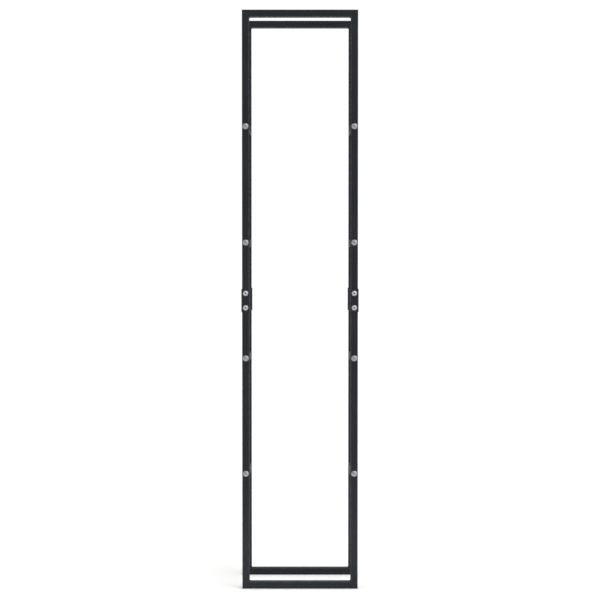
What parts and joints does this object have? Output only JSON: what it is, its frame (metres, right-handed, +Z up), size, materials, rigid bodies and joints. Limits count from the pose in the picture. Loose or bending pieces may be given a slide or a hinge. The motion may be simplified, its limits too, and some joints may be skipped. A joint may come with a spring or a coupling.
{
  "type": "firewood log rack",
  "caption": "Tall narrow free-standing firewood rack of square steel tube: a front and a rear frame joined by side bars, open to load from the front.",
  "frame": {"origin": "on the floor, under the middle of the rack", "axes": "+Z up along the posts; -Y is the front that logs are loaded from; +X is to the right seen from the front"},
  "size_m": [0.405, 0.2669, 2],
  "materials": {
    "matt_black_powder_coat": "near-black matt polyester powder coat with a fine texture, on square steel tube",
    "zinc_plated_steel": "bright blue-passivated zinc plating on cold-headed steel fasteners",
    "bare_steel_plate": "steel plate welded inside a side bar's end, coated with it"
  },
  "bodies": {
    "root": {"front_bottom_bar": "matt_black_powder_coat", "front_top_bar": "matt_black_powder_coat", "front_left_lower_post": "matt_black_powder_coat", "front_left_upper_post": "matt_black_powder_coat", "front_left_splice_sleeve": "matt_black_powder_coat", "front_right_lower_post": "matt_black_powder_coat", "front_right_upper_post": "matt_black_powder_coat", "front_right_splice_sleeve": "matt_black_powder_coat", "rear_bottom_bar": "matt_black_powder_coat", "rear_top_bar": "matt_black_powder_coat", "rear_left_lower_post": "matt_black_powder_coat", "rear_left_upper_post": "matt_black_powder_coat", "rear_left_splice_sleeve": "matt_black_powder_coat", "rear_right_lower_post": "matt_black_powder_coat", "rear_right_upper_post": "matt_black_powder_coat", "rear_right_splice_sleeve": "matt_black_powder_coat", "left_side_bar_1": "matt_black_powder_coat", "left_side_bar_2": "matt_black_powder_coat", "left_side_bar_3": "matt_black_powder_coat", "left_side_bar_4": "matt_black_powder_coat", "right_side_bar_1": "matt_black_powder_coat", "right_side_bar_2": "matt_black_powder_coat", "right_side_bar_3": "matt_black_powder_coat", "right_side_bar_4": "matt_black_powder_coat", "front_lower_corner_welds": "matt_black_powder_coat", "front_upper_corner_welds": "matt_black_powder_coat", "rear_lower_corner_welds": "matt_black_powder_coat", "rear_upper_corner_welds": "matt_black_powder_coat", "left_side_bar_end_plates": "bare_steel_plate", "right_side_bar_end_plates": "bare_steel_plate", "left_tie_bolts": "zinc_plated_steel", "left_tie_bolt_washers": "zinc_plated_steel", "left_tie_bolt_nuts": "zinc_plated_steel", "right_tie_bolts": "zinc_plated_steel", "right_tie_bolt_washers": "zinc_plated_steel", "right_tie_bolt_nuts": "zinc_plated_steel", "front_sleeve_bolts": "zinc_plated_steel", "front_sleeve_nuts": "zinc_plated_steel", "rear_sleeve_bolts": "zinc_plated_steel", "rear_sleeve_nuts": "zinc_plated_steel"}
  },
  "joints": []
}
